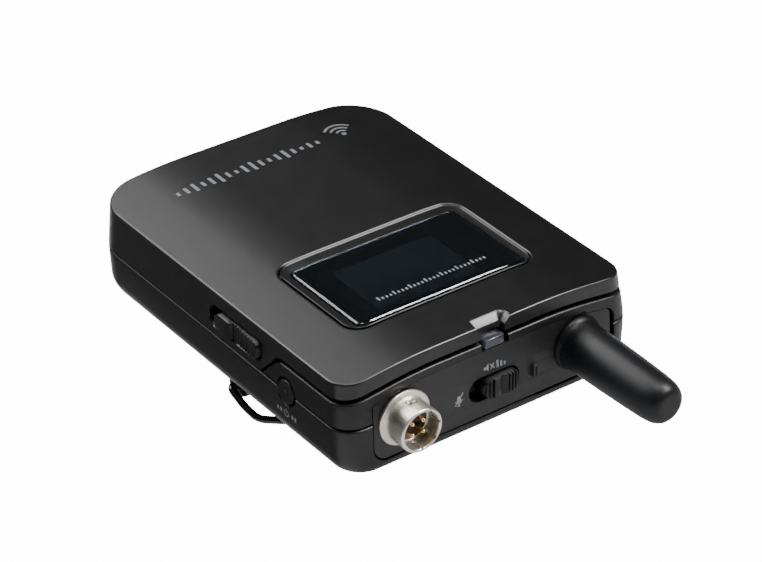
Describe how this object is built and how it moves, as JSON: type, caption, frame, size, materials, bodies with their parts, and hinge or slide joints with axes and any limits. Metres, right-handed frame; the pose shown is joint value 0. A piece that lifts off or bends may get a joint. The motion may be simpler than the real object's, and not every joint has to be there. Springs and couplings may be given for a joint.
{
  "type": "wireless bodypack transmitter",
  "caption": "Palm-size wireless bodypack transmitter with hinged cover, display window, stub antenna, round mic socket and wire belt clip.",
  "frame": {"origin": "middle of the flat back face", "axes": "+X across the width, +Y towards the hinged end away from the antenna, +Z out of the display side"},
  "size_m": [0.0712, 0.1151, 0.0286],
  "materials": {
    "case_black": "fine moulded matte black",
    "cover_black": "satin black with a soft sheen",
    "panel_grey": "satin charcoal",
    "window_glass": "polished smoked acrylic",
    "light_lens": "translucent grey-blue",
    "rubber_black": "satin moulded rubber",
    "nickel": "bright nickel plate",
    "gold": "gold plate",
    "insulator": "dark brown moulded insulator",
    "board_green": "solder-resist green",
    "chip_black": "epoxy package",
    "switch_grey": "dark grey moulding",
    "display_glass": "grey-green display glass",
    "cell_wrap": "plain printed sleeve",
    "steel": "plated steel",
    "wire_black": "gloss black spring wire",
    "brass": "turned brass"
  },
  "bodies": {
    "case": {"back_shell": "case_black", "mid_frame": "case_black", "end_panel": "panel_grey", "inner_deck": "switch_grey", "connector_shell": "nickel", "connector_insulator": "insulator", "connector_pin_1": "gold", "connector_pin_2": "gold", "connector_pin_3": "gold", "connector_pin_4": "gold", "connector_nut": "nickel", "antenna_boot": "rubber_black", "antenna_rod": "brass", "antenna_nut": "brass", "light_lens": "light_lens", "main_board": "board_green", "rf_shield": "steel", "processor_chip": "chip_black", "crystal_can": "steel", "audio_chip": "chip_black", "mute_switch_body": "switch_grey", "power_switch_body": "switch_grey", "status_light": "light_lens", "display_frame": "switch_grey", "display_glass": "display_glass", "battery_1": "cell_wrap", "battery_2": "cell_wrap", "contact_bridge": "nickel", "contact_negative": "nickel", "contact_positive": "nickel", "battery_spring_1": "steel", "battery_spring_2": "steel", "case_screw_1": "steel", "case_screw_2": "steel", "case_screw_3": "steel", "case_screw_4": "steel", "board_screw_1": "steel", "board_screw_2": "steel", "hinge_pin_left": "steel", "hinge_pin_right": "steel"},
    "cover": {"front_cover": "cover_black", "window_bezel": "cover_black", "window_lens": "window_glass"},
    "latch_l": {"latch_left": "case_black"},
    "latch_r": {"latch_right": "case_black"},
    "power_key": {"power_button": "case_black"},
    "mute_knob": {"mute_slider": "case_black"},
    "set_button": {"set_key": "switch_grey"},
    "up_button": {"up_key": "switch_grey"},
    "down_button": {"down_key": "switch_grey"},
    "clip": {"belt_clip": "wire_black"}
  },
  "joints": [
    {"name": "cover_hinge", "type": "hinge", "parent": "case", "child": "cover", "pos_m": [0, 0.0416, 0.0134], "axis": [-1, 0, 0], "range_deg": [0, 95]},
    {"name": "latch_left_slide", "type": "slide", "parent": "cover", "child": "latch_l", "axis": [0, 1, 0], "range_m": [0, 0.0027], "stiffness_N_per_m": 300, "springref_m": -0.004},
    {"name": "latch_right_slide", "type": "slide", "parent": "cover", "child": "latch_r", "axis": [0, 1, 0], "range_m": [0, 0.0027], "stiffness_N_per_m": 300, "springref_m": -0.004},
    {"name": "power_press", "type": "slide", "parent": "case", "child": "power_key", "axis": [1, 0, 0], "range_m": [0, 0.0005], "stiffness_N_per_m": 800, "springref_m": -0.0015},
    {"name": "mute_slide", "type": "slide", "parent": "case", "child": "mute_knob", "axis": [-1, 0, 0], "range_m": [0, 0.0026]},
    {"name": "set_press", "type": "slide", "parent": "case", "child": "set_button", "axis": [0, 0, -1], "range_m": [0, 0.0005], "stiffness_N_per_m": 600, "springref_m": -0.0015},
    {"name": "up_press", "type": "slide", "parent": "case", "child": "up_button", "axis": [0, 0, -1], "range_m": [0, 0.0005], "stiffness_N_per_m": 600, "springref_m": -0.0015},
    {"name": "down_press", "type": "slide", "parent": "case", "child": "down_button", "axis": [0, 0, -1], "range_m": [0, 0.0005], "stiffness_N_per_m": 600, "springref_m": -0.0015},
    {"name": "clip_hinge", "type": "hinge", "parent": "case", "child": "clip", "pos_m": [0, -0.0023, -0.0017], "axis": [1, 0, 0], "range_deg": [0, 20], "stiffness_Nm_per_rad": 0.6, "springref_deg": -14.32}
  ]
}
